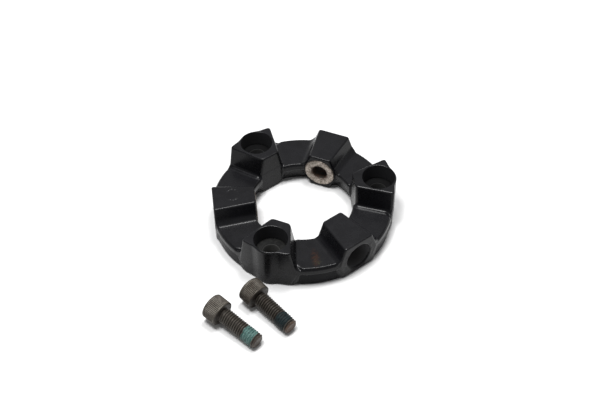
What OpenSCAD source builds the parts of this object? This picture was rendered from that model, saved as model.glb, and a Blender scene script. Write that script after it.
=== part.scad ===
// Rubber ring element of a torsionally elastic shaft coupling, with two of its cap screws lying beside it.
// One moulded rubber ring joins three axial bushes, screwed to a flange, with three radial bushes,
// screwed to a hub. The origin is on the ring's axis, in the plane that the axial bushes rest on.
// +Z points to the lug tops and +X runs through the first axial bush.

/* [Ring] */
// Diameter of the circle that the three axial bushes sit on
bolt_circle_d = 80; // [78:0.5:82]
// Height of the axial lugs, which is the width of the element
axial_lug_h = 24; // [22:0.5:28]
// Height of the radial lugs
radial_lug_h = 20.6; // [19.6:0.2:21.4]
// Height of the webs that join the lugs
web_h = 12.3; // [11:0.1:13]
// Outer radius of the web rim
rim_outer_r = 47.2; // [46.7:0.1:47.4]
// Inner radius of the web rim
rim_inner_r = 26.8; // [26.5:0.1:28]
// Width of the small step between the rim and the pad, round the outside of each web
pad_step = 0.5; // [0.3:0.1:1]
// How far the web walls are set back below the rim
wall_recess = 0.7; // [0.4:0.1:1]
// How far the inner wall leans outwards from there to the underside
inner_wall_draft = 1.8; // [0:0.1:2]
// Height of the lower edge of the rim
rim_base_z = 8.2; // [7:0.2:9]
// Gap between the web undersides and the resting plane
web_relief = 0.5; // [0.4:0.1:2]
// Gap between the rubber lugs and the resting plane
lug_relief = 0.3; // [0.1:0.1:0.6]

/* [Axial lugs] */
// Outer radius of the shoulders beside the bulge
shoulder_r = 47.6; // [47.5:0.1:47.9]
// Radius of the flat inner face of an axial lug
axial_face_r = 26.9; // [26.5:0.1:27.6]
// Half width of that face
axial_face_half_w = 5; // [4:0.1:6]
// Angle of the flanks to the lug's centre line
axial_flank_angle = 23; // [20:0.5:25]
// How far each flank runs out between the lug top and the web
axial_flank_run = 2.3; // [1:0.2:4]
// Radius of the bulge around the screw head pocket
axial_bulge_r = 9.3; // [9:0.1:10]
// Diameter of the screw head pocket
axial_pocket_d = 16.8; // [14:0.2:17.2]
// Depth of the screw head pocket
axial_pocket_depth = 8.5; // [8:0.5:10]

/* [Radial lugs] */
// Radius of the flat inner face of a radial lug
radial_face_r = 24.3; // [24:0.1:26]
// Radius of the flat outer face of a radial lug
radial_outer_r = 46.4; // [45.5:0.1:46.6]
// Half width of the lug top at the inner face
radial_face_half_w = 5.8; // [5.4:0.1:6.4]
// Half width of the lug top at the outer face
radial_outer_half_w = 8.6; // [8:0.1:9]
// How much wider the lug is on each side at half its height
radial_flare = 3.8; // [3.4:0.1:4.6]
// Diameter of the screw head pocket
radial_pocket_d = 14.2; // [13.8:0.2:16]
// Depth of the screw head pocket
radial_pocket_depth = 8.5; // [8:0.5:9.5]

/* [Bushes] */
// Diameter of the screw hole in each bush
bush_bore_d = 8.4; // [8.4:0.1:9]
// Outer diameter of an axial bush
axial_bush_d = 16; // [14:0.2:16.4]
// Outer diameter of a radial bush
radial_bush_d = 16.6; // [16:0.2:17.4]
// How far a radial bush stands proud of the rubber
radial_bush_proud = 0.3; // [0.1:0.1:0.6]
// Chamfer at the ends of the screw holes
bush_chamfer = 0.5; // [0.2:0.1:0.8]
// Thickness of the bonding layer between bush and rubber
bond_gap = 0.02; // [0.01:0.01:0.05]

/* [Cap screws] */
// Thread diameter
screw_d = 8; // [8:1:8]
// Length under the head
screw_len = 22.8; // [20:0.2:25]
// Head diameter
head_d = 13; // [12.6:0.1:13.4]
// Head height
head_h = 7.7; // [7.6:0.1:8]
// Width across the flats of the hexagon socket
socket_af = 6; // [5:0.5:6]
// Depth of the hexagon socket
socket_depth = 4; // [3:0.5:4.5]
// Chamfer at the screw tip
tip_chamfer = 0.9; // [0.5:0.1:1.2]
// Length of the thread lock patch
patch_len = 6; // [4:0.2:8]
// Distance from the screw tip to the thread lock patch
patch_to_tip = 2; // [1.6:0.2:6]
// Thickness of the thread lock patch
patch_t = 0.15; // [0.1:0.05:0.3]

/* [Hidden] */

ROUND_FN = 96;
OVERLAP = 1;
FLANK_REACH = 40;
LUG_PITCH = 120;
RADIAL_PHASE = 60;

bolt_r = bolt_circle_d / 2;
radial_axis_z = radial_lug_h / 2;
axial_bush_len = axial_lug_h - axial_pocket_depth;
radial_bush_start = radial_face_r - radial_bush_proud;
radial_bush_end = radial_outer_r - radial_pocket_depth;
pad_base_z = web_h - 1.1;
rim_break = 0.4;
face_window_w = 2 * axial_face_half_w + 2;
head_edge = 0.8;
head_foot_edge = 0.3;
screw_tilt = atan((head_d - screw_d) / 2 / (screw_len - tip_chamfer));

// Where each screw lies: centre under its head, and the way its tip points
screw_1_place = [-46.9, -63.7];
screw_1_heading = -47.7;
screw_2_place = [-28.6, -56.1];
screw_2_heading = -53.5;

RUBBER = "#2a2a2e";
BUSH_STEEL = "#9a938a";
SCREW_STEEL = "#544d44";
PATCH_GREEN = "#4f8f86";

// ---- rubber ring ----

module web_ring() {
    wall_outer_r = rim_outer_r - wall_recess;
    wall_inner_r = rim_inner_r + wall_recess;
    difference() {
        rotate_extrude($fn = ROUND_FN)
            polygon([
                [wall_inner_r + inner_wall_draft, web_relief],
                [wall_outer_r, web_relief],
                [wall_outer_r, rim_base_z - rim_break],
                [rim_outer_r, rim_base_z + rim_break],
                [rim_outer_r, pad_base_z - rim_break],
                [rim_outer_r - pad_step, pad_base_z],
                [rim_outer_r - pad_step, web_h],
                [rim_inner_r + rim_break, web_h],
                [rim_inner_r, web_h - rim_break],
                [rim_inner_r, rim_base_z + rim_break],
                [wall_inner_r, rim_base_z - rim_break]
            ]);
        for (turn = [0 : LUG_PITCH : 240])
            rotate(turn)
                face_window();
    }
}

// Gap in the web ring, where the flat inner face of an axial lug runs down to its foot
module face_window() {
    translate([0, -face_window_w / 2, -OVERLAP])
        cube([axial_face_r + OVERLAP, face_window_w, axial_lug_h]);
}

// Everything on the near side of a flank. The section gives the flank's outline as points
// [distance out from the flank line, height]; the line starts at [r, half_w] and opens by angle.
module flank_side(r, half_w, angle, section) {
    translate([r, half_w, 0])
        rotate(angle)
            translate([-FLANK_REACH / 2, 0, 0])
                rotate([90, 0, 90])
                    linear_extrude(2 * FLANK_REACH)
                        polygon(section);
}

// What both flanks leave between them
module between_flanks(r, half_w, angle, section) {
    intersection() {
        flank_side(r, half_w, angle, section);
        mirror([0, 1, 0])
            flank_side(r, half_w, angle, section);
    }
}

module axial_lug() {
    foot_run = axial_flank_run * (axial_lug_h - rim_base_z) / (axial_lug_h - web_h);
    section = [[-FLANK_REACH, lug_relief], [0, lug_relief], [foot_run, rim_base_z], [0, axial_lug_h],
               [-FLANK_REACH, axial_lug_h]];
    intersection() {
        between_flanks(axial_face_r, axial_face_half_w, axial_flank_angle, section);
        translate([axial_face_r, -rim_outer_r, 0])
            cube([rim_outer_r, 2 * rim_outer_r, axial_lug_h]);
        cylinder(h = axial_lug_h, r = shoulder_r, $fn = ROUND_FN);
    }
    translate([bolt_r, 0, lug_relief])
        cylinder(h = axial_lug_h - lug_relief, r = axial_bulge_r, $fn = ROUND_FN);
}

module radial_lug() {
    angle = atan((radial_outer_half_w - radial_face_half_w) / (radial_outer_r - radial_face_r));
    section = [[-FLANK_REACH, lug_relief], [0, lug_relief], [radial_flare * cos(angle), radial_axis_z],
               [0, radial_lug_h], [-FLANK_REACH, radial_lug_h]];
    intersection() {
        between_flanks(radial_face_r, radial_face_half_w, angle, section);
        translate([radial_face_r, -rim_outer_r, 0])
            cube([radial_outer_r - radial_face_r, 2 * rim_outer_r, axial_lug_h]);
    }
}

// Everything outside the flat outer face of a radial lug
module radial_flat_cut() {
    translate([radial_outer_r, -rim_outer_r / 2, -OVERLAP])
        cube([rim_outer_r, rim_outer_r, axial_lug_h]);
}

// Seat of an axial bush, with the screw head pocket above it
module axial_cavity() {
    translate([bolt_r, 0, -OVERLAP])
        cylinder(h = axial_bush_len + OVERLAP + bond_gap, d = axial_bush_d + 2 * bond_gap, $fn = ROUND_FN);
    translate([bolt_r, 0, axial_bush_len])
        cylinder(h = axial_pocket_depth + OVERLAP, d = axial_pocket_d, $fn = ROUND_FN);
}

// Seat of a radial bush, with the screw head pocket outside it
module radial_cavity() {
    translate([radial_face_r - OVERLAP, 0, radial_axis_z])
        rotate([0, 90, 0]) {
            cylinder(h = radial_bush_end - radial_face_r + OVERLAP + bond_gap,
                     d = radial_bush_d + 2 * bond_gap, $fn = ROUND_FN);
            cylinder(h = radial_outer_r - radial_face_r + 2 * OVERLAP, d = radial_pocket_d, $fn = ROUND_FN);
        }
}

module rubber_body() {
    color(RUBBER)
        difference() {
            union() {
                web_ring();
                for (turn = [0 : LUG_PITCH : 240])
                    rotate(turn)
                        axial_lug();
                for (turn = [RADIAL_PHASE : LUG_PITCH : 300])
                    rotate(turn)
                        radial_lug();
            }
            for (turn = [0 : LUG_PITCH : 240])
                rotate(turn)
                    axial_cavity();
            for (turn = [RADIAL_PHASE : LUG_PITCH : 300])
                rotate(turn) {
                    radial_cavity();
                    radial_flat_cut();
                }
        }
}

// ---- bushes ----

// A steel bush standing on its end, with a chamfered screw hole
module bush(outer_d, len) {
    bore_r = bush_bore_d / 2;
    outer_r = outer_d / 2;
    edge = bush_chamfer / 2;
    rotate_extrude($fn = ROUND_FN)
        polygon([
            [bore_r + bush_chamfer, 0],
            [outer_r - edge, 0],
            [outer_r, edge],
            [outer_r, len - edge],
            [outer_r - edge, len],
            [bore_r + bush_chamfer, len],
            [bore_r, len - bush_chamfer],
            [bore_r, bush_chamfer]
        ]);
}

module axial_bush(turn) {
    color(BUSH_STEEL)
        rotate(turn)
            translate([bolt_r, 0, 0])
                bush(axial_bush_d, axial_bush_len);
}

module radial_bush(turn) {
    color(BUSH_STEEL)
        rotate(turn)
            translate([radial_bush_start, 0, radial_axis_z])
                rotate([0, 90, 0])
                    bush(radial_bush_d, radial_bush_end - radial_bush_start);
}

module axial_bush_1() { axial_bush(0); }
module axial_bush_2() { axial_bush(LUG_PITCH); }
module axial_bush_3() { axial_bush(2 * LUG_PITCH); }
module radial_bush_1() { radial_bush(RADIAL_PHASE); }
module radial_bush_2() { radial_bush(RADIAL_PHASE + LUG_PITCH); }
module radial_bush_3() { radial_bush(RADIAL_PHASE + 2 * LUG_PITCH); }

// ---- cap screws ----

// Lays a screw drawn along +X, seated at its head's underside, on the resting plane
module lie_down(place, heading) {
    translate([place[0], place[1], head_d / 2 * cos(screw_tilt)])
        rotate([0, screw_tilt, heading])
            children();
}

module screw_shape() {
    shank_r = screw_d / 2;
    head_r = head_d / 2;
    difference() {
        rotate([0, 90, 0])
            rotate_extrude($fn = ROUND_FN)
                polygon([
                    [0, -head_h],
                    [head_r - head_edge, -head_h],
                    [head_r, head_edge - head_h],
                    [head_r, -head_foot_edge],
                    [head_r - head_foot_edge, 0],
                    [shank_r, 0],
                    [shank_r, screw_len - tip_chamfer],
                    [shank_r - tip_chamfer, screw_len],
                    [0, screw_len]
                ]);
        translate([-head_h - OVERLAP, 0, 0])
            rotate([0, 90, 0])
                cylinder(h = socket_depth + OVERLAP, r = socket_af / 2 / cos(30), $fn = 6);
    }
}

module cap_screw(place, heading) {
    color(SCREW_STEEL)
        lie_down(place, heading)
            screw_shape();
}

module thread_lock_patch(place, heading) {
    start = screw_len - patch_to_tip - patch_len;
    inner_r = screw_d / 2 + bond_gap;
    color(PATCH_GREEN)
        lie_down(place, heading)
            rotate([0, 90, 0])
                rotate_extrude($fn = ROUND_FN)
                    translate([inner_r, start])
                        square([patch_t, patch_len]);
}

module cap_screw_1() { cap_screw(screw_1_place, screw_1_heading); }
module cap_screw_2() { cap_screw(screw_2_place, screw_2_heading); }
module thread_lock_patch_1() { thread_lock_patch(screw_1_place, screw_1_heading); }
module thread_lock_patch_2() { thread_lock_patch(screw_2_place, screw_2_heading); }

rubber_body();
axial_bush_1();
axial_bush_2();
axial_bush_3();
radial_bush_1();
radial_bush_2();
radial_bush_3();
cap_screw_1();
cap_screw_2();
thread_lock_patch_1();
thread_lock_patch_2();
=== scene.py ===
"""Visual model of a moulded rubber coupling ring with bonded steel bushes, and two of its cap screws.

Every length in this script is in millimetres until a mesh is made, which turns it into metres. The main
sizes are measured from the CAD nodes, and the rest are small details of the moulding and the threads.
"""
import math

import bmesh
import bpy
import numpy as np
from mathutils import Matrix, Vector


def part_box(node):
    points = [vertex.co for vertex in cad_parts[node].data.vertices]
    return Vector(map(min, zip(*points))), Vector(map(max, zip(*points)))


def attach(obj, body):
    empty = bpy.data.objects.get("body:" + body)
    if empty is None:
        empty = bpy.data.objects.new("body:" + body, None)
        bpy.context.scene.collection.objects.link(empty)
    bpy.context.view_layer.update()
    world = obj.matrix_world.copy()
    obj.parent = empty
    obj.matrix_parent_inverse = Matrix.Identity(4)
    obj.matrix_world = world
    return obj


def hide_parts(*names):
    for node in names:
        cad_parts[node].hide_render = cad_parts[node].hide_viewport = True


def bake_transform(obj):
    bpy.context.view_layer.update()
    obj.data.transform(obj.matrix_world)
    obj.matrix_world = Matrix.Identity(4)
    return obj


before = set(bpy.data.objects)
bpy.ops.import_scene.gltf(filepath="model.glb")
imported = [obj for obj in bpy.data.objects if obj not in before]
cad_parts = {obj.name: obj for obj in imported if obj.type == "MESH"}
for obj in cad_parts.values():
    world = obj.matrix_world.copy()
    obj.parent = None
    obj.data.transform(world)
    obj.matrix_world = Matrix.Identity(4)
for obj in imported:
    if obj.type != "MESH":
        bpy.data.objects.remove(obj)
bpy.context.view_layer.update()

MM = 0.001
PITCH = 2 * math.pi / 3  # the ring repeats every third of a turn, and each third is symmetric


# ---- sizes taken from the CAD nodes ----

def box_mm(node):
    """Lowest and highest corner of a CAD node, in millimetres."""
    low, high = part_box(node)
    return np.array(low) / MM, np.array(high) / MM


def axial_sizes():
    """Bolt circle radius, bush radius and bush length of the axial bush that lies on +X."""
    low, high = box_mm("axial_bush_1")
    return (low[0] + high[0]) / 2, (high[0] - low[0]) / 2, high[2]


def radial_sizes():
    """Inner end, outer end, radius and axis height of the radial bush that lies on -X."""
    low, high = box_mm("radial_bush_2")
    return -high[0], -low[0], (high[2] - low[2]) / 2, (high[2] + low[2]) / 2


BOLT_R, AXIAL_BUSH_R, AXIAL_BUSH_TOP = axial_sizes()
RADIAL_START, RADIAL_END, RADIAL_BUSH_R, RADIAL_Z = radial_sizes()
LUG_TOP = box_mm("rubber_body")[1][2]
RADIAL_TOP = 2 * RADIAL_Z
BORE_R = 4.2
BOND = 0.02  # bonding layer between a bush and the rubber


# ---- rubber: a distance field, meshed and then projected onto its surface ----

RELIEF = 0.3  # the lugs' gap to the floor
WEB_RELIEF = 0.5
WEB_TOP = 12.3
RIM_TOP = WEB_TOP - 1.1
RIM_BASE = 8.2
RIM_OUTER = 47.2
RIM_INNER = 26.8
PAD_OUTER = RIM_OUTER - 0.5
WALL_OUTER = RIM_OUTER - 0.7
WALL_INNER = RIM_INNER + 0.7
WALL_DRAFT = 1.8 / 7.7  # the inner wall leans outwards towards the underside
PAD_CORNER = 3.4
PAD_GAP = 3.4  # from the axial lug's top outline to the pad
PAD_GAP_INSIDE = 2.8  # the same at the inner edge of the web
PAD_GAP_FADE = 3.0  # how far out from the inner edge the gap widens

FACE_R = 26.9  # flat inner face of an axial lug
FACE_HALF = 5.0
FACE_WINDOW = FACE_HALF + 1.5  # half width of the gap that the face leaves in the web ring
FLANK = math.radians(23)
FLANK_SLOPE = 0.19
FOOT_SLOPE = 0.5
SHOULDER_R = 47.6
BULGE_R = 9.3
POCKET_R = 8.4
POCKET_TAPER = 0.06

LUG_FACE_R = RADIAL_START + 0.3  # flat inner face of a radial lug
LUG_OUTER_R = RADIAL_END + 8.5
LUG_HALF = 5.8
LUG_OUTER_HALF = 8.6
LUG_FLANK = math.atan((LUG_OUTER_HALF - LUG_HALF) / (LUG_OUTER_R - LUG_FACE_R))
LUG_SLOPE = 3.8 / RADIAL_Z
LUG_POCKET_R = 7.1

# Radii of rounded edges
EDGE = 0.4
SLIGHT_EDGE = 0.3
BAND_EDGE = 0.45
PAD_EDGE = 0.8
TOP_EDGE = 0.8
CORNER = 1.5
RADIAL_CORNER = 1.2
FLANK_CREASE = 1.5  # where the upper and the lower part of a flank meet
POCKET_EDGE = 0.4
LUG_POCKET_EDGE = 1.1
SEAT_EDGE = 0.2

# Radii of fillets
AXIAL_FILLET = 2.7
RADIAL_FILLET = 3.2
BULGE_FILLET = 0.9
PAD_FILLET = 0.9

GRID = 0.4  # spacing of the grid that the surface is first found on
GRID_SHIFT = 0.013  # keeps the grid's planes off the ring's flat faces
SLOPE_LIMIT = 0.05  # smallest squared slope that is divided by, where the field is flat
TRIANGLES = 190_000

MARK_R = 3.7  # plain ring moulded into one lug top
MARK_AT = (-35.9, 1.0)
MARK_WIDTH = 0.45
MARK_LIFT = 0.1  # its groove has a round section, centred this far above the lug top
MARK_EDGE = 0.15

# Where the pockets are painted paler, with dust and painted light, and where painted shade falls under the
# rim
NEAR_WALL = 0.15
NEAR_FLOOR = 0.1
MOUTH = 0.5  # depth of the clean rim of an axial pocket
LUG_MOUTH = 0.8  # the same for a radial pocket
WALL_DEPTH = 0.3
AXIAL_DUST_AND_LIGHT = 0.22  # share of the pale dust and painted light in the axial pockets, against 1 in the radial ones


def meet(a, b, radius):
    """Intersection of two solids with the edge between them rounded."""
    near = np.hypot(np.maximum(radius + a, 0), np.maximum(radius + b, 0))
    return np.minimum(-radius, np.maximum(a, b)) + near


def join(a, b, radius):
    """Union of two solids with the corner between them filled."""
    near = np.hypot(np.maximum(radius - a, 0), np.maximum(radius - b, 0))
    return np.maximum(radius, np.minimum(a, b)) - near


def smooth_step(value, low, high):
    """0 up to low, 1 from high, and a smooth rise between them."""
    share = np.clip((value - low) / (high - low), 0, 1)
    return share * share * (3 - 2 * share)


def slab(value, low, high, radius):
    """What lies between two limits of one coordinate."""
    return meet(low - value, value - high, radius)


def web_field(r, z):
    """The ring between the lugs, without the pads: a rim band on a set-back lower wall."""
    lean = WALL_INNER + WALL_DRAFT * (RIM_BASE - z)
    wall = meet(r - WALL_OUTER, (lean - r) / math.hypot(1, WALL_DRAFT), EDGE)
    wall = meet(wall, slab(z, WEB_RELIEF, RIM_TOP - EDGE, SLIGHT_EDGE), EDGE)
    band = slab(r, RIM_INNER, RIM_OUTER, SLIGHT_EDGE)
    band = meet(band, slab(z, RIM_BASE, RIM_TOP, SLIGHT_EDGE), BAND_EDGE)
    return join(wall, band, SLIGHT_EDGE)


def pad_field(r, z, beyond_lug):
    """The raised pad on top of a web, with rounded corners beside the axial lug."""
    gap = PAD_GAP - (PAD_GAP - PAD_GAP_INSIDE) * np.exp((RIM_INNER - r) / PAD_GAP_FADE)
    plan = meet(r - PAD_OUTER, gap - beyond_lug, PAD_CORNER)
    pad = meet(plan, slab(z, RIM_BASE, WEB_TOP, SLIGHT_EDGE), PAD_EDGE)
    return meet(pad, RIM_INNER - r, PAD_EDGE)


def axial_lug_field(a, t, z, r, beyond_flank):
    """A lug with creased, leaning flanks, at a along and t across its middle line."""
    upper = (beyond_flank - (LUG_TOP - z) * FLANK_SLOPE) / math.hypot(1, FLANK_SLOPE)
    lower = (beyond_flank - (z - RELIEF) * FOOT_SLOPE) / math.hypot(1, FOOT_SLOPE)
    flank = meet(upper, lower, FLANK_CREASE)
    block = meet(flank, FACE_R - a, CORNER)
    block = meet(block, r - SHOULDER_R, CORNER)
    bulge = np.hypot(a - BOLT_R, t) - BULGE_R
    block = join(block, bulge, BULGE_FILLET)
    return meet(block, slab(z, RELIEF, LUG_TOP, SLIGHT_EDGE), TOP_EDGE)


def radial_lug_field(b, s, z):
    """A lower lug, widest at the height of its bush, at b along and s across its middle line."""
    beyond = (s - LUG_HALF) * math.cos(LUG_FLANK) - (b - LUG_FACE_R) * math.sin(LUG_FLANK)
    upper = (beyond - (RADIAL_TOP - z) * LUG_SLOPE) / math.hypot(1, LUG_SLOPE)
    lower = (beyond - (z - RELIEF) * LUG_SLOPE) / math.hypot(1, LUG_SLOPE)
    flank = meet(upper, lower, FLANK_CREASE)
    block = meet(flank, slab(b, LUG_FACE_R, LUG_OUTER_R, SLIGHT_EDGE), RADIAL_CORNER)
    return meet(block, slab(z, RELIEF, RADIAL_TOP, SLIGHT_EDGE), TOP_EDGE)


def add_lug(body, lug, radius, envelope):
    """Joins a lug to the ring with a fillet that stays within the ring's own walls."""
    fillet = np.maximum(join(body, lug, radius), envelope)
    return np.minimum(np.minimum(fillet, body), lug)


def fold_angle(x, y):
    """Angle from the nearest axial lug's middle, which is half a pitch at a radial lug's middle."""
    return np.abs((np.arctan2(y, x) + PITCH / 2) % PITCH - PITCH / 2)


def folded(p):
    """Distances along and across the nearest axial lug, then along and across the nearest radial lug."""
    x, y = p[..., 0], p[..., 1]
    r = np.hypot(x, y)
    fold = fold_angle(x, y)
    rest = PITCH / 2 - fold
    return r * np.cos(fold), r * np.sin(fold), r * np.cos(rest), r * np.sin(rest)


def rubber_field(p):
    """Signed distance to the rubber's surface, negative inside, for points in millimetres."""
    x, y, z = p[..., 0], p[..., 1], p[..., 2]
    r = np.hypot(x, y)
    a, t, b, s = folded(p)
    beyond = (t - FACE_HALF) * math.cos(FLANK) - (a - FACE_R) * math.sin(FLANK)

    body = join(web_field(r, z), pad_field(r, z, beyond), PAD_FILLET)
    envelope = meet(slab(r, RIM_INNER, RIM_OUTER, SLIGHT_EDGE), WEB_RELIEF - z, SLIGHT_EDGE)
    body = add_lug(body, axial_lug_field(a, t, z, r, beyond), AXIAL_FILLET, envelope)
    body = meet(body, -np.maximum(a - FACE_R, t - FACE_WINDOW), SLIGHT_EDGE)
    body = add_lug(body, radial_lug_field(b, s, z), RADIAL_FILLET, envelope)
    body = meet(body, b - LUG_OUTER_R, EDGE)

    pocket_r = POCKET_R - POCKET_TAPER * (LUG_TOP - z)
    pocket = np.maximum(np.hypot(a - BOLT_R, t) - pocket_r, AXIAL_BUSH_TOP - z)
    seat = np.hypot(a - BOLT_R, t) - AXIAL_BUSH_R - BOND
    seat = np.maximum(seat, z - AXIAL_BUSH_TOP - BOND)
    body = meet(body, -pocket, POCKET_EDGE)
    body = meet(body, -seat, SEAT_EDGE)

    across = np.hypot(s, z - RADIAL_Z)
    body = meet(body, -np.maximum(across - LUG_POCKET_R, RADIAL_END - b), LUG_POCKET_EDGE)
    seat = np.maximum(across - RADIAL_BUSH_R - BOND, b - RADIAL_END - BOND)
    body = meet(body, -seat, SEAT_EDGE)

    ring = np.hypot(x - MARK_AT[0], y - MARK_AT[1]) - MARK_R
    mark = np.hypot(ring, z - RADIAL_TOP - MARK_LIFT) - MARK_WIDTH / 2
    return meet(body, -mark, MARK_EDGE)


def field_slope(field, p, step=0.02):
    """Gradient of a field by central differences."""
    columns = []
    for axis in np.eye(3) * step:
        columns.append((field(p + axis) - field(p - axis)) / (2 * step))
    return np.stack(columns, axis=-1)


def onto_surface(field, p, rounds=4):
    """Moves points down the field's slope until they lie on its zero surface."""
    for _ in range(rounds):
        slope = field_slope(field, p)
        steepness = np.maximum((slope ** 2).sum(-1), SLOPE_LIMIT)
        move = (field(p) / steepness)[:, None] * slope
        p = p - np.clip(move, -GRID / 2, GRID / 2)
    return p


def grid_edges(axis):
    """Index of the near end, and of the far end, of every grid edge along an axis."""
    near, far = [slice(None)] * 3, [slice(None)] * 3
    near[axis], far[axis] = slice(0, -1), slice(1, None)
    return tuple(near), tuple(far)


def surface_net(field, low, high, spacing):
    """Closed quad mesh of a field's zero surface: a point in each cell that the surface crosses."""
    axes = [np.arange(lo, hi + spacing, spacing) for lo, hi in zip(low, high)]
    shape = tuple(len(axis) for axis in axes)
    value = np.empty(shape, np.float32)
    for i, x in enumerate(axes[0]):
        y, z = np.meshgrid(axes[1], axes[2], indexing="ij")
        value[i] = field(np.stack([np.full_like(y, x), y, z], axis=-1))
    inside = value < 0

    # Each cell's point is the mean of the places where its twelve edges cross the surface
    cells = tuple(n - 1 for n in shape)
    total = np.zeros(cells + (3,), np.float32)
    count = np.zeros(cells, np.float32)
    for axis in range(3):
        near, far = grid_edges(axis)
        crossed = inside[near] != inside[far]
        gap = np.where(crossed, value[near] - value[far], 1)
        along = np.where(crossed, value[near] / gap, 0)
        others = [k for k in range(3) if k != axis]
        for d0 in (0, 1):
            for d1 in (0, 1):
                pick = [slice(None)] * 3
                pick[others[0]] = slice(d0, d0 + cells[others[0]])
                pick[others[1]] = slice(d1, d1 + cells[others[1]])
                c = crossed[tuple(pick)]
                point = np.zeros(c.shape + (3,), np.float32)
                point[..., axis] = along[tuple(pick)]
                point[..., others[0]] = d0
                point[..., others[1]] = d1
                total += point * c[..., None]
                count += c
    active = count > 0
    number = np.full(cells, -1, np.int64)
    number[active] = np.arange(active.sum())
    corner = np.stack(np.nonzero(active), axis=-1)
    points = corner + total[active] / count[active][:, None]
    points = np.array(low) + points * spacing

    # Each crossed edge gives a quad between the points of the four cells round it
    faces = []
    for axis in range(3):
        near, far = grid_edges(axis)
        crossed = inside[near] != inside[far]
        outwards = inside[near]
        at = np.stack(np.nonzero(crossed), axis=-1)
        u, v = (axis + 1) % 3, (axis + 2) % 3
        ring = []
        for du, dv in ((1, 1), (0, 1), (0, 0), (1, 0)):
            cell = at.copy()
            cell[:, u] -= du
            cell[:, v] -= dv
            ring.append(number[tuple(cell.T)])
        quad = np.stack(ring, axis=-1)
        flip = ~outwards[crossed]
        quad[flip] = quad[flip][:, ::-1]
        faces.append(quad)
    return points, np.concatenate(faces)


def add_to_scene(name, data):
    obj = bpy.data.objects.new(name, data)
    bpy.context.scene.collection.objects.link(obj)
    return obj


def new_object(name, points, faces):
    """A mesh object from points in millimetres and faces that all have the same number of corners."""
    mesh = bpy.data.meshes.new(name)
    points = np.asarray(points, float) * MM
    faces = np.asarray(faces)
    mesh.vertices.add(len(points))
    mesh.vertices.foreach_set("co", points.astype(np.float32).ravel())
    mesh.loops.add(faces.size)
    mesh.loops.foreach_set("vertex_index", faces.astype(np.int32).ravel())
    mesh.polygons.add(len(faces))
    sides = faces.shape[1]
    mesh.polygons.foreach_set("loop_start", np.arange(0, faces.size, sides, dtype=np.int32))
    mesh.update(calc_edges=True)
    mesh.validate()
    return add_to_scene(name, mesh)


def points_of(obj):
    """The vertices of a mesh object, in millimetres."""
    co = np.empty(len(obj.data.vertices) * 3, np.float32)
    obj.data.vertices.foreach_get("co", co)
    return co.reshape(-1, 3).astype(float) / MM


def store(obj, name, values):
    """Keeps a number for each vertex, which a material reads by its name."""
    attribute = obj.data.attributes.new(name, "FLOAT", "POINT")
    attribute.data.foreach_set("value", np.asarray(values, np.float32))


def keep_rest_place(obj):
    """Stores where each vertex is at rest, in metres, so that the materials would stay put if it were bent.
    """
    rest = (points_of(obj) * MM).astype(np.float32)
    attribute = obj.data.attributes.new("rest_place", "FLOAT_VECTOR", "POINT")
    attribute.data.foreach_set("vector", rest.ravel())


def make_rubber():
    """The ring's mesh: found on the grid, thinned out, put back on the surface and given its true normals."""
    low, high = box_mm("rubber_body")
    margin = 2 * GRID + GRID_SHIFT
    points, faces = surface_net(rubber_field, low - margin, high + margin, GRID)
    points = onto_surface(rubber_field, points)
    obj = new_object("rubber_ring", points, faces)
    thin = obj.modifiers.new("thin", "DECIMATE")
    thin.ratio = TRIANGLES / (2 * len(faces))
    depsgraph = bpy.context.evaluated_depsgraph_get()
    mesh = bpy.data.meshes.new_from_object(obj.evaluated_get(depsgraph), depsgraph=depsgraph)
    obj.modifiers.clear()
    obj.data = mesh
    points = onto_surface(rubber_field, points_of(obj), rounds=2)
    mesh.vertices.foreach_set("co", (points * MM).astype(np.float32).ravel())
    mesh.update()
    mesh.shade_smooth()
    normals = field_slope(rubber_field, points)
    normals /= np.linalg.norm(normals, axis=1, keepdims=True)
    mesh.normals_split_custom_set_from_vertices(normals)
    return obj


def mark_sheltered(obj):
    """Stores where the screw head pockets are painted paler, with dust and painted light, and where the skin
    under the rim is dimmed as painted shade.
    """
    places = points_of(obj)
    a, t, b, s = folded(places)
    z = places[:, 2]
    axial = (np.hypot(a - BOLT_R, t) < POCKET_R + NEAR_WALL) & (z > AXIAL_BUSH_TOP - NEAR_FLOOR)
    axial &= z < LUG_TOP - MOUTH
    radial = (np.hypot(s, z - RADIAL_Z) < LUG_POCKET_R + NEAR_WALL) & (b > RADIAL_END - NEAR_FLOOR)
    radial &= b < LUG_OUTER_R - LUG_MOUTH
    # dust and painted light: the pocket walls are marked to be painted paler
    store(obj, "pocket_dust_and_light", np.maximum(AXIAL_DUST_AND_LIGHT * axial, radial))
    r = np.hypot(a, t)
    # painted shade: the lower wall under the rim is marked for a lower specular level, standing in for the
    # rim's shadow
    store(obj, "rim_painted_shade", (r < WALL_OUTER + NEAR_WALL) & (r > WALL_OUTER - WALL_DEPTH) & (z < RIM_BASE))


def bend_between_lugs(obj):
    """Bakes the ring's placement into its mesh; nothing is weighted or bent here, and the points it reads are
    not used.
    """
    places = points_of(obj)
    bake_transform(obj)


# ---- turned pieces: bushes and screws ----

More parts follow.
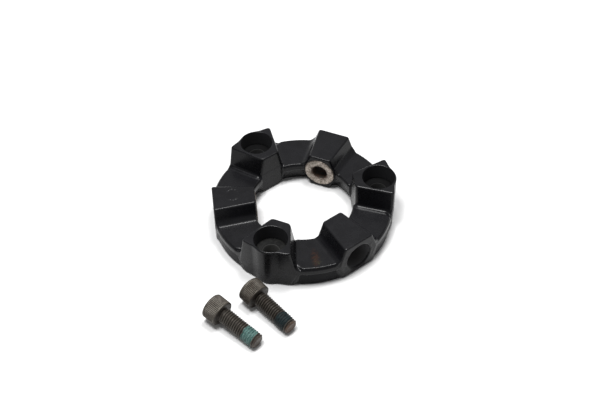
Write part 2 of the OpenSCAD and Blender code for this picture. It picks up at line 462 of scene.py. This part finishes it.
def turned(name, stations, closed):
    """Closed mesh from rings of points round the X axis. Each station is (x, radius), and either may be
    an array with a value for each point of the ring. A closed profile joins its last ring to its first,
    and an open one ends in a point on the axis at both ends."""
    sides = max(np.size(value) for station in stations for value in station)
    turn = np.arange(sides) * 2 * math.pi / sides
    rings = []
    for x, radius in stations:
        x = np.broadcast_to(x, sides)
        radius = np.broadcast_to(radius, sides)
        rings.append(np.stack([x, radius * np.cos(turn), radius * np.sin(turn)], axis=-1))
    count = len(rings)
    number = np.arange(count * sides).reshape(count, sides)
    steps = count if closed else count - 1
    faces = []
    for i in range(steps):
        here, there = number[i], number[(i + 1) % count]
        faces.append(np.stack([here, np.roll(here, -1), np.roll(there, -1), there], axis=-1))
    points = np.concatenate(rings)
    obj = new_object(name, points, np.concatenate(faces))
    if not closed:
        cap = bmesh.new()
        cap.from_mesh(obj.data)
        verts = list(cap.verts)
        for i in (0, count - 1):
            ends = [verts[n] for n in number[i]]
            middle = cap.verts.new((float(np.mean(stations[i][0])) * MM, 0, 0))
            for a, b in zip(ends, ends[1:] + ends[:1]):
                cap.faces.new((a, b, middle))
        cap.to_mesh(obj.data)
        cap.free()
    tidy = bmesh.new()
    tidy.from_mesh(obj.data)
    bmesh.ops.recalc_face_normals(tidy, faces=tidy.faces)
    tidy.to_mesh(obj.data)
    tidy.free()
    obj.data.shade_smooth()
    return obj


def arc_stations(x, radius, size, start, end, steps=4):
    """Stations round a quarter of a circle centred on (x, radius)."""
    angles = np.radians(np.linspace(start, end, steps + 1))
    return [(x + size * math.cos(a), radius + size * math.sin(a)) for a in angles]


def sharpen(obj, degrees):
    """Edges steeper than this stay crisp in shading."""
    obj.data.set_sharp_from_angle(angle=math.radians(degrees))


BUSH_EDGE = 0.25
BUSH_CHAMFER = 0.5
BUSH_SIDES = 96
MOUTH_BREAK = 0.05  # the chamfer's outer edge is broken by this much
BORE_BREAK = 0.03  # and its inner edge by this much
LOOP = 0.1  # distance of the rings of points that hold an edge in shape
BUSH_CREASE = 35  # degrees, above which an edge stays crisp


def make_bush(name, node, start, end, radius, place):
    """A steel bush along +X from start to end, with rounded rims and a countersunk screw hole."""
    mouth = BORE_R + BUSH_CHAMFER
    stations = [(start, mouth + LOOP), (start, radius - BUSH_EDGE)]
    stations += arc_stations(start + BUSH_EDGE, radius - BUSH_EDGE, BUSH_EDGE, 180, 90)
    stations += arc_stations(end - BUSH_EDGE, radius - BUSH_EDGE, BUSH_EDGE, 90, 0)
    stations += [(end, radius - BUSH_EDGE), (end, mouth + LOOP)]
    stations += [(end - MOUTH_BREAK, mouth), (end - BUSH_CHAMFER, BORE_R + BORE_BREAK)]
    stations += [(end - BUSH_CHAMFER - LOOP, BORE_R), (start + BUSH_CHAMFER + LOOP, BORE_R)]
    stations += [(start + BUSH_CHAMFER, BORE_R + BORE_BREAK), (start + MOUTH_BREAK, mouth)]
    stations = [(x, np.full(BUSH_SIDES, r)) for x, r in stations]
    obj = turned(name, stations, closed=True)
    sharpen(obj, BUSH_CREASE)
    return settled(obj, node, place)


def scaled(place):
    """A placement in millimetres as one in metres."""
    place = place.copy()
    place.translation = place.translation * MM
    return place


def settled(obj, node, place):
    """Moves a piece turned round the X axis to its place, where it stands in for a CAD node. First it
    stores how far each point is from the axis, and along it, for the rust, wear, painted shade and painted
    highlights in the materials."""
    points = points_of(obj)
    store(obj, "axis_distance", np.hypot(points[:, 1], points[:, 2]))
    store(obj, "axis_along", points[:, 0])
    obj.data.transform(scaled(place))
    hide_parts(node)
    return obj


SCREW_PITCH = 1.25
SCREW_R = 4.0
THREAD_DEPTH = 0.68
HEAD_R = 6.5
HEAD_H = 7.7
SHANK = 22.8
SOCKET_AF = 6.0
SOCKET_DEPTH = 4.0
TEETH = 48
TOOTH_DEPTH = 0.25
SCREW_SIDES = 5 * TEETH
SCREW_CREASE = 50  # degrees, above which an edge stays crisp
ROWS_PER_PITCH = 9
THREAD_FLAT = 0.12  # share of half a pitch that is flat at the crest, and again at the root
THREAD_ROUND = (-0.15, 1.05)  # range of the smooth step that rounds the crest and the root
THREAD_NECK = 0.8  # depth of the plain neck under the head, as a share of the thread's
TIP_CHAMFER = 0.9
HEAD_EDGE = 0.8
PATCH_START = SHANK - 8
PATCH_END = SHANK - 2
FILM_SUNK = 0.12  # how far below the thread the film's surface lies where it is worn away
FILM_INSIDE = 0.3  # how far below the thread its hidden inner side lies


def screw_turn():
    """Angles of the points round a screw."""
    return np.arange(SCREW_SIDES) * 2 * math.pi / SCREW_SIDES


def thread_radius(x):
    """Radius of the threaded shank all round, at a distance x under the head."""
    phase = (x / SCREW_PITCH - screw_turn() / (2 * math.pi)) % 1
    flank = np.abs(2 * phase - 1)
    share = np.clip((flank - THREAD_FLAT) / (1 - 2 * THREAD_FLAT), 0, 1)
    radius = SCREW_R - THREAD_DEPTH * smooth_step(share, *THREAD_ROUND)
    neck = SCREW_R - THREAD_DEPTH * THREAD_NECK
    radius = np.minimum(radius, neck + (SCREW_R - neck) * smooth_step(x, 0.5, 1.6))
    return np.minimum(radius, SCREW_R + SHANK - TIP_CHAMFER - x)


def shank_rows():
    """Distances under the head at which the thread has a ring of points."""
    count = int(round(SHANK / SCREW_PITCH * ROWS_PER_PITCH))
    return np.linspace(0.25, SHANK, count)


def make_screw(name, node, place):
    """A fully threaded socket cap screw with a knurled head, along +X from its head's underside."""
    turn = screw_turn()
    flat = np.ones(SCREW_SIDES)
    hexagon = SOCKET_AF / 2 / np.cos((turn + math.pi / 6) % (math.pi / 3) - math.pi / 6)
    tooth = TOOTH_DEPTH * np.array([1, 0.35, 0, 0, 0.35])[np.arange(SCREW_SIDES) % 5]

    top, floor, rim = -HEAD_H, SOCKET_DEPTH - HEAD_H, hexagon.max()
    # The socket, from the point of its drilled cone up to its countersunk mouth
    stations = [(floor + 1.2, 0.3 * flat), (floor, hexagon - 0.1), (floor - 0.1, hexagon)]
    stations += [(top + 0.35, hexagon), (top + 0.02, rim + 0.12 * flat), (top, rim + 0.25 * flat)]
    # The top of the head, its rounded edge, its knurled side and its underside
    stations.append((top, (HEAD_R - HEAD_EDGE) * flat))
    for x, radius in arc_stations(top + HEAD_EDGE, HEAD_R - HEAD_EDGE, HEAD_EDGE, 180, 90)[1:-1]:
        stations.append((x, radius * flat))
    stations.append((top + HEAD_EDGE, (HEAD_R - 0.02) * flat))
    for x, share in ((top + 1.05, 0.8), (top + 1.3, 1), (-0.85, 1), (-0.6, 0.8)):
        stations.append((x, HEAD_R - tooth * share))
    stations += [(-0.45, (HEAD_R - 0.02) * flat), (-0.2, (HEAD_R - 0.05) * flat)]
    stations += [(0, (HEAD_R - 0.3) * flat), (0, 4.3 * flat), (0.06, 3.9 * flat)]
    for x in shank_rows():
        stations.append((x, thread_radius(x)))
    stations += [(SHANK, 2.9 * flat), (SHANK - 0.12, 2.5 * flat)]

    obj = turned(name, stations, closed=False)
    sharpen(obj, SCREW_CREASE)
    return settled(obj, node, place)


def ripple(x, turn, seed):
    """Uneven value between about -1 and 1 that repeats once round the screw."""
    total = 0
    for k, (waves, along) in enumerate(((1, 0.9), (2, 1.7), (3, -2.3), (5, 3.1), (8, -4.3))):
        total = total + math.sin(seed + 2.1 * k) * np.sin(waves * turn + along * x + seed * (k + 1))
    return total / 2.2


def make_patch(name, node, place, seed):
    """The dried thread lock: a film over the thread, thick in its roots and worn through on some crests."""
    turn = screw_turn()
    rows = [x for x in shank_rows() if PATCH_START - 0.6 < x < PATCH_END + 0.5]
    outer, inner = [], []
    for x in rows:
        radius = thread_radius(x)
        ragged = 0.35 * ripple(x * 0.3, turn, seed + 4)
        cover = smooth_step(x + ragged, PATCH_START - 0.4, PATCH_START + 0.3)
        cover = cover * (1 - smooth_step(x + ragged, PATCH_END - 0.5, PATCH_END + 0.2))
        root = (SCREW_R - radius) / THREAD_DEPTH
        film = 0.05 + 0.2 * root + 0.05 * ripple(x, turn, seed)
        outer.append((x, radius - FILM_SUNK + (film + FILM_SUNK) * cover))
        inner.append((x, radius - FILM_INSIDE))
    obj = turned(name, outer + inner[::-1], closed=True)
    return settled(obj, node, place)


def lying_screw(node):
    """Placement of a CAD screw, in millimetres: +X runs along it, from under its head to its tip."""
    points = np.unique(np.round(points_of(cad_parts[node]), 4), axis=0)
    centre = points.mean(axis=0)
    axis = np.linalg.eigh(np.cov((points - centre).T))[1][:, -1]
    along = (points - centre) @ axis
    off = np.linalg.norm(points - centre - np.outer(along, axis), axis=1)
    if off[along > along.max() - 1].max() > off[along < along.min() + 1].max():
        axis, along = -axis, -along
    tip = centre + axis * along.max()
    up = np.array([0, 0, 1.0]) - axis[2] * axis
    up /= np.linalg.norm(up)
    side = np.cross(up, axis)
    place = Matrix.Identity(4)
    for row in range(3):
        place[row][0], place[row][1], place[row][2] = axis[row], side[row], up[row]
        place[row][3] = (tip - axis * SHANK)[row]
    return place


# ---- materials ----

class Finish:
    """A node material with short calls for the nodes that these finishes use."""

    def __init__(self, name):
        self.material = bpy.data.materials.new(name)
        self.material.use_nodes = True
        self.tree = self.material.node_tree
        self.shader = self.tree.nodes["Principled BSDF"]

    def add(self, kind, inputs, **settings):
        """A new node, with its inputs set or linked by name or number."""
        node = self.tree.nodes.new(kind)
        for key, value in settings.items():
            setattr(node, key, value)
        for key, value in inputs.items():
            self.put(node.inputs[key], value)
        return node

    def put(self, socket, value):
        """Links a socket into an input, or sets the input to a plain value."""
        if isinstance(value, bpy.types.NodeSocket):
            self.tree.links.new(value, socket)
        else:
            socket.default_value = value

    def set(self, **values):
        """Sets inputs of the surface shader, with _ in place of each blank in their names."""
        for key, value in values.items():
            self.put(self.shader.inputs[key.replace("_", " ")], value)

    def attribute(self, name, output="Fac"):
        return self.add("ShaderNodeAttribute", {}, attribute_name=name).outputs[output]

    def object_place(self):
        return self.add("ShaderNodeTexCoord", {}).outputs["Object"]

    def noise(self, place, size_mm, detail=3.0, roughness=0.55):
        inputs = {"Vector": place, "Scale": 1 / (size_mm * MM), "Detail": detail, "Roughness": roughness}
        return self.add("ShaderNodeTexNoise", inputs).outputs["Fac"]

    def span(self, value, low, high, out_low=0.0, out_high=1.0):
        """Maps low to out_low and high to out_high, smoothly, and holds the value beyond them."""
        inputs = {"Value": value, "From Min": low, "From Max": high, "To Min": out_low, "To Max": out_high}
        node = self.add("ShaderNodeMapRange", inputs, interpolation_type="SMOOTHSTEP")
        return node.outputs["Result"]

    def math(self, operation, a, b=0.0):
        return self.add("ShaderNodeMath", {0: a, 1: b}, operation=operation).outputs["Value"]

    def mix(self, share, a, b):
        node = self.tree.nodes.new("ShaderNodeMix")
        node.data_type = "RGBA"
        self.put(node.inputs["Factor"], share)
        self.put(node.inputs["A"], a)
        self.put(node.inputs["B"], b)
        return node.outputs["Result"]

    def near(self, place, centre_mm, size_mm):
        """1 at a point of the piece, falling to 0 at a distance, with sizes given for each axis."""
        centre, size = [c * MM for c in centre_mm], [s * MM for s in size_mm]
        shift = self.add("ShaderNodeVectorMath", {0: place, 1: centre}, operation="SUBTRACT")
        scale = self.add("ShaderNodeVectorMath", {0: shift.outputs["Vector"], 1: size}, operation="DIVIDE")
        length = self.add("ShaderNodeVectorMath", {0: scale.outputs["Vector"]}, operation="LENGTH")
        return self.span(length.outputs["Value"], 1.0, 0.2)

    def bump(self, height, strength, depth_mm, normal=None):
        inputs = {"Height": height, "Strength": strength, "Distance": depth_mm * MM}
        if normal is not None:
            inputs["Normal"] = normal
        return self.add("ShaderNodeBump", inputs).outputs["Normal"]


def rgb(red, green, blue):
    return (red, green, blue, 1.0)


def rubber_finish():
    """Moulded black rubber: satin, faintly blue, dusty on its flat tops, with one old rust smear."""
    f = Finish("moulded_rubber")
    place = f.attribute("rest_place", "Vector")
    cloud = f.noise(place, 22, 4)
    grain = f.noise(place, 0.55, 3, 0.6)
    handling = f.noise(place, 4.5, 5, 0.6)

    colour = f.mix(f.span(cloud, 0.35, 0.65), rgb(0.0038, 0.0038, 0.0044), rgb(0.0052, 0.0052, 0.0062))
    up = f.add("ShaderNodeSeparateXYZ", {"Vector": f.add("ShaderNodeNewGeometry", {}).outputs["Normal"]})
    dust = f.math("MULTIPLY", f.span(up.outputs["Z"], 0.6, 1.0), f.span(handling, 0.3, 0.75, 0.15, 0.6))
    colour = f.mix(dust, colour, rgb(0.0076, 0.0075, 0.0090))
    # dust and painted light: the pocket walls are painted paler, standing in for the light they catch
    pocket = f.math("MULTIPLY", f.attribute("pocket_dust_and_light"), f.span(handling, 0.3, 0.7, 0.8, 1.0))
    colour = f.mix(pocket, colour, rgb(0.085, 0.085, 0.088))

    smear = f.near(place, (1.3, -40, 12), (3.0, 8.0, 1.5))
    smear = f.math("MULTIPLY", smear, f.span(f.noise(place, 1.4, 4, 0.7), 0.4, 0.6, 0.1, 1.0))
    colour = f.mix(smear, colour, rgb(0.024, 0.010, 0.006))
    specks = f.near(place, (2.2, -42, 12), (4.0, 5.5, 1.5))
    specks = f.math("MULTIPLY", specks, f.span(f.noise(place, 0.8, 2, 0.6), 0.58, 0.66))
    colour = f.mix(specks, colour, rgb(0.022, 0.024, 0.010))

    rough = f.span(handling, 0.3, 0.7, 0.24, 0.30)
    rough = f.math("ADD", rough, f.math("MULTIPLY", pocket, 0.4))
    normal = f.bump(grain, 0.12, 0.04)
    normal = f.bump(f.noise(place, 6, 2), 0.2, 0.10, normal)
    # painted shade: the specular level drops under the rim, darkening the lower wall as the rim's shadow
    # would
    level = f.span(f.attribute("rim_painted_shade"), 0.0, 1.0, 0.2, 0.085)
    level = f.math("MULTIPLY", level, f.span(up.outputs["Z"], 0.15, 0.6, 0.75, 1.0))
    f.set(Base_Color=colour, Roughness=rough, Normal=normal, Specular_IOR_Level=level)
    return f.material


def bush_finish():
    """Dull turned steel, mottled and stained, with rust that starts at the edge of the screw hole."""
    f = Finish("turned_steel")
    place = f.object_place()
    patches = f.noise(place, 1.6, 5, 0.7)
    specks = f.noise(place, 0.7, 3, 0.7)
    colour = f.mix(f.span(patches, 0.38, 0.62), rgb(0.50, 0.44, 0.385), rgb(0.20, 0.170, 0.142))
    colour = f.mix(f.span(specks, 0.54, 0.64, 0, 0.8), colour, rgb(0.055, 0.040, 0.028))
    radius = f.attribute("axis_distance")
    uneven = f.math("ADD", radius, f.span(f.noise(place, 1.2, 5, 0.7), 0.3, 0.7, -0.7, 0.7))
    rust = f.span(uneven, BORE_R + 1.0, BORE_R + 0.2, 0, 0.8)
    colour = f.mix(rust, colour, rgb(0.055, 0.030, 0.019))
    rim = f.span(uneven, RADIAL_BUSH_R - 0.9, RADIAL_BUSH_R + 0.1, 0, 0.7)
    colour = f.mix(rim, colour, rgb(0.050, 0.036, 0.026))
    hole = f.span(radius, BORE_R + 0.12, BORE_R + 0.02)
    inside = f.mix(f.span(patches, 0.4, 0.6), rgb(0.030, 0.026, 0.020), rgb(0.060, 0.026, 0.014))
    colour = f.mix(hole, colour, inside)
    turning = f.math("SINE", f.math("MULTIPLY", radius, 38))
    normal = f.bump(turning, 0.12, 0.02)
    normal = f.bump(f.noise(place, 0.35, 3, 0.6), 0.4, 0.06, normal)
    rough = f.math("ADD", f.span(specks, 0.3, 0.7, 0.42, 0.58), f.math("MULTIPLY", rust, 0.25))
    metal = f.math("SUBTRACT", 0.55, f.math("MULTIPLY", rust, 0.5))
    f.set(Base_Color=colour, Roughness=rough, Metallic=metal, Normal=normal)
    return f.material


def deep_finish(name, black, pale, hole_colour):
    """The bush ends down in the axial pockets: black with old oil and dust, darkened further as painted shade
    of the deep pocket, with the bore wall painted paler as painted light.
    """
    f = Finish(name)
    place = f.object_place()
    colour = f.mix(f.span(f.noise(place, 1.8, 4, 0.6), 0.35, 0.65), black, pale)
    hole = f.span(f.attribute("axis_distance"), BORE_R + 0.3, BORE_R + 0.05)
    # painted light: the bore wall is painted paler than the face, so the hole's own shade does not show
    colour = f.mix(hole, colour, hole_colour)
    normal = f.bump(f.noise(place, 0.5, 3, 0.6), 0.3, 0.05)
    f.set(Base_Color=colour, Roughness=0.75, Normal=normal, Specular_IOR_Level=0.06)
    return f.material


def screw_finish(name, pale, brown, copper):
    """Weathered oiled steel: dark olive brown, paler where rubbed, with painted shade in the thread roots and
    a rusty, coppery tip.
    """
    f = Finish(name)
    place = f.object_place()
    patches = f.noise(place, 3.5, 4, 0.6)
    fine = f.noise(place, 0.5, 3, 0.6)
    colour = f.mix(f.span(patches, 0.35, 0.65), pale, brown)
    colour = f.mix(f.span(fine, 0.48, 0.7, 0, 0.7), colour, rgb(0.012, 0.010, 0.009))
    radius = f.attribute("axis_distance")
    along = f.attribute("axis_along")
    crest = f.span(radius, SCREW_R - 0.25, SCREW_R)
    on_shank = f.span(along, 0.0, 0.3)
    head = f.math("MULTIPLY", f.span(radius, HEAD_R - 0.12, HEAD_R), f.math("SUBTRACT", 1.0, on_shank))
    rubbed = f.math("ADD", f.math("MULTIPLY", crest, on_shank), head)
    rubbed = f.math("MULTIPLY", rubbed, f.span(f.noise(place, 1.3, 3), 0.35, 0.65, 0.15, 0.7))
    colour = f.mix(rubbed, colour, rgb(0.125, 0.113, 0.093))
    # painted shade: the thread roots are darkened where shade falls between the crests
    root = f.math("MULTIPLY", f.span(radius, SCREW_R - 0.35, SCREW_R - 0.6), on_shank)
    colour = f.mix(f.math("MULTIPLY", root, 0.65), colour, rgb(0.012, 0.010, 0.009))
    tip = f.math("MULTIPLY", f.span(along, SHANK - 1.3, SHANK - 0.5), f.span(fine, 0.35, 0.55, 0.35, 1.0))
    colour = f.mix(tip, colour, copper)
    normal = f.bump(fine, 0.4, 0.06)
    rough = f.span(patches, 0.3, 0.7, 0.40, 0.58)
    f.set(Base_Color=colour, Roughness=rough, Metallic=0.4, Normal=normal, Specular_IOR_Level=0.3)
    return f.material


def patch_finish(name, bright, dull, crest):
    """Dried thread lock film: chalky, mottled, dirty in places, with a painted highlight on the thread
    crests.
    """
    f = Finish(name)
    place = f.object_place()
    colour = f.mix(f.span(f.noise(place, 1.5, 4, 0.65), 0.38, 0.62), bright, dull)
    radius = f.attribute("axis_distance")
    # painted highlight: the film is painted paler on the thread crests, where light catches them
    colour = f.mix(f.span(radius, SCREW_R - 0.1, SCREW_R + 0.08, 0, 0.35), colour, crest)
    dirt = f.span(f.noise(place, 0.6, 3, 0.7), 0.50, 0.66, 0, 0.9)
    colour = f.mix(dirt, colour, rgb(0.020, 0.030, 0.028))
    normal = f.bump(f.noise(place, 0.4, 3, 0.6), 0.5, 0.08)
    f.set(Base_Color=colour, Roughness=0.62, Normal=normal, Specular_IOR_Level=0.25)
    return f.material


# ---- the pieces ----

def make_ring():
    rubber = make_rubber()
    keep_rest_place(rubber)
    mark_sheltered(rubber)
    bend_between_lugs(rubber)
    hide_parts("rubber_body")
    rubber.data.materials.append(rubber_finish())


def make_bushes():
    seen_steel = bush_finish()
    # near black as oil and painted shade of the deep pockets; the third bush end is paler, as dust and
    # painted light where its pocket is lit
    oily_and_shaded = (rgb(0.003, 0.003, 0.0033), rgb(0.0038, 0.0038, 0.0040), rgb(0.030, 0.030, 0.030))
    dusty = (rgb(0.008, 0.008, 0.008), rgb(0.016, 0.016, 0.0155), rgb(0.07, 0.07, 0.068))
    for i in range(3):
        turn = Matrix.Rotation(i * PITCH, 4, "Z")
        upright = Matrix.Translation((BOLT_R, 0, 0)) @ Matrix.Rotation(-math.pi / 2, 4, "Y")
        name = f"axial_bush_{i + 1}"
        bush = make_bush(name + "_turned", name, 0, AXIAL_BUSH_TOP, AXIAL_BUSH_R, turn @ upright)
        bush.data.materials.append(deep_finish(f"dark_steel_{i + 1}", *(dusty if i == 2 else oily_and_shaded)))
        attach(bush, "flange_side")

        turn = Matrix.Rotation(i * PITCH + PITCH / 2, 4, "Z")
        outwards = Matrix.Translation((0, 0, RADIAL_Z))
        name = f"radial_bush_{i + 1}"
        bush = make_bush(name + "_turned", name, RADIAL_START, RADIAL_END, RADIAL_BUSH_R, turn @ outwards)
        bush.data.materials.append(seen_steel)
        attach(bush, "hub_side")


def make_screws():
    steel = ((rgb(0.066, 0.059, 0.050), rgb(0.040, 0.033, 0.027), rgb(0.072, 0.059, 0.048)),
             (rgb(0.034, 0.029, 0.023), rgb(0.023, 0.016, 0.011), rgb(0.100, 0.068, 0.050)))
    # film colours: bright, dull, and the painted highlight on the crests
    film = ((rgb(0.085, 0.17, 0.155), rgb(0.035, 0.085, 0.078), rgb(0.20, 0.26, 0.24)),
            (rgb(0.004, 0.013, 0.016), rgb(0.004, 0.006, 0.007), rgb(0.009, 0.014, 0.013)))
    for i in range(2):
        place = lying_screw(f"cap_screw_{i + 1}")
        screw = make_screw(f"cap_screw_{i + 1}_threaded", f"cap_screw_{i + 1}", place)
        screw.data.materials.append(screw_finish(f"weathered_steel_{i + 1}", *steel[i]))
        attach(screw, f"screw_{i + 1}")
        patch = make_patch(f"thread_lock_{i + 1}_film", f"thread_lock_patch_{i + 1}", place, 1.0 + 2.3 * i)
        patch.data.materials.append(patch_finish(f"thread_lock_{i + 1}", *film[i]))
        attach(patch, f"screw_{i + 1}")


# ---- camera, light and floor ----

def look_along(obj, place, target, roll=0.0):
    """Puts obj at place, looking at target, both in millimetres."""
    direction = Vector(target) - Vector(place)
    turn = direction.to_track_quat("-Z", "Y").to_matrix().to_4x4()
    obj.matrix_world = Matrix.Translation(Vector(place) * MM) @ turn @ Matrix.Rotation(roll, 4, "Z")


def add_camera():
    """The camera looks down at the ring from the front, a little to its left."""
    target = Vector((0.35, 11.97, 0.0))
    azimuth, elevation, distance = math.radians(-6.894), math.radians(46.429), 535.7
    back = Vector((math.sin(azimuth) * math.cos(elevation), -math.cos(azimuth) * math.cos(elevation),
                   math.sin(elevation)))
    data = bpy.data.cameras.new("camera")
    data.lens = 59.6
    data.sensor_width = 36
    camera = add_to_scene("camera", data)
    look_along(camera, target + back * distance, target, math.radians(-0.818))
    bpy.context.scene.camera = camera


def add_area(name, place, size, power):
    """A white area light above the ring, aimed at the middle of its underside."""
    data = bpy.data.lights.new(name, "AREA")
    data.shape = "RECTANGLE"
    data.size, data.size_y = size[0] * MM, size[1] * MM
    data.energy = power
    look_along(add_to_scene(name, data), place, (0, 0, 0))


FLOOR_HALF = 4.0  # metres
FLOOR_GREY = 0.7


def add_floor():
    mesh = bpy.data.meshes.new("floor")
    sheet = bmesh.new()
    bmesh.ops.create_grid(sheet, x_segments=1, y_segments=1, size=FLOOR_HALF)
    sheet.to_mesh(mesh)
    sheet.free()
    floor = add_to_scene("floor", mesh)
    material = bpy.data.materials.new("floor_paper")
    material.use_nodes = True
    shader = material.node_tree.nodes["Principled BSDF"]
    shader.inputs["Base Color"].default_value = rgb(FLOOR_GREY, FLOOR_GREY, FLOOR_GREY)
    shader.inputs["Roughness"].default_value = 0.9
    mesh.materials.append(material)


WORLD_FRONT = 0.25  # strength of the light from the camera's side
WORLD_BACK = 0.6  # strength of the light from behind the part


def set_world():
    """A grey studio, dim on the camera's side and brighter behind the part."""
    world = bpy.data.worlds.new("studio")
    bpy.context.scene.world = world
    world.use_nodes = True
    tree = world.node_tree
    place = tree.nodes.new("ShaderNodeTexCoord").outputs["Generated"]
    split = tree.nodes.new("ShaderNodeSeparateXYZ")
    tree.links.new(place, split.inputs["Vector"])
    back = tree.nodes.new("ShaderNodeMapRange")
    back.interpolation_type = "SMOOTHSTEP"
    limits = {"From Min": -0.6, "From Max": 0.9, "To Min": WORLD_FRONT, "To Max": WORLD_BACK}
    for key, value in limits.items():
        back.inputs[key].default_value = value
    tree.links.new(split.outputs["Y"], back.inputs["Value"])
    tree.links.new(back.outputs["Result"], tree.nodes["Background"].inputs["Strength"])
    tree.nodes["Background"].inputs["Color"].default_value = (1, 1, 1, 1)


make_ring()
make_bushes()
make_screws()
add_floor()
set_world()
add_area("overhead", (-155, -60, 795), (200, 200), 5.8)
add_area("second", (110, 100, 790), (190, 190), 4.0)
add_camera()
bpy.context.scene.view_settings.view_transform = "Standard"
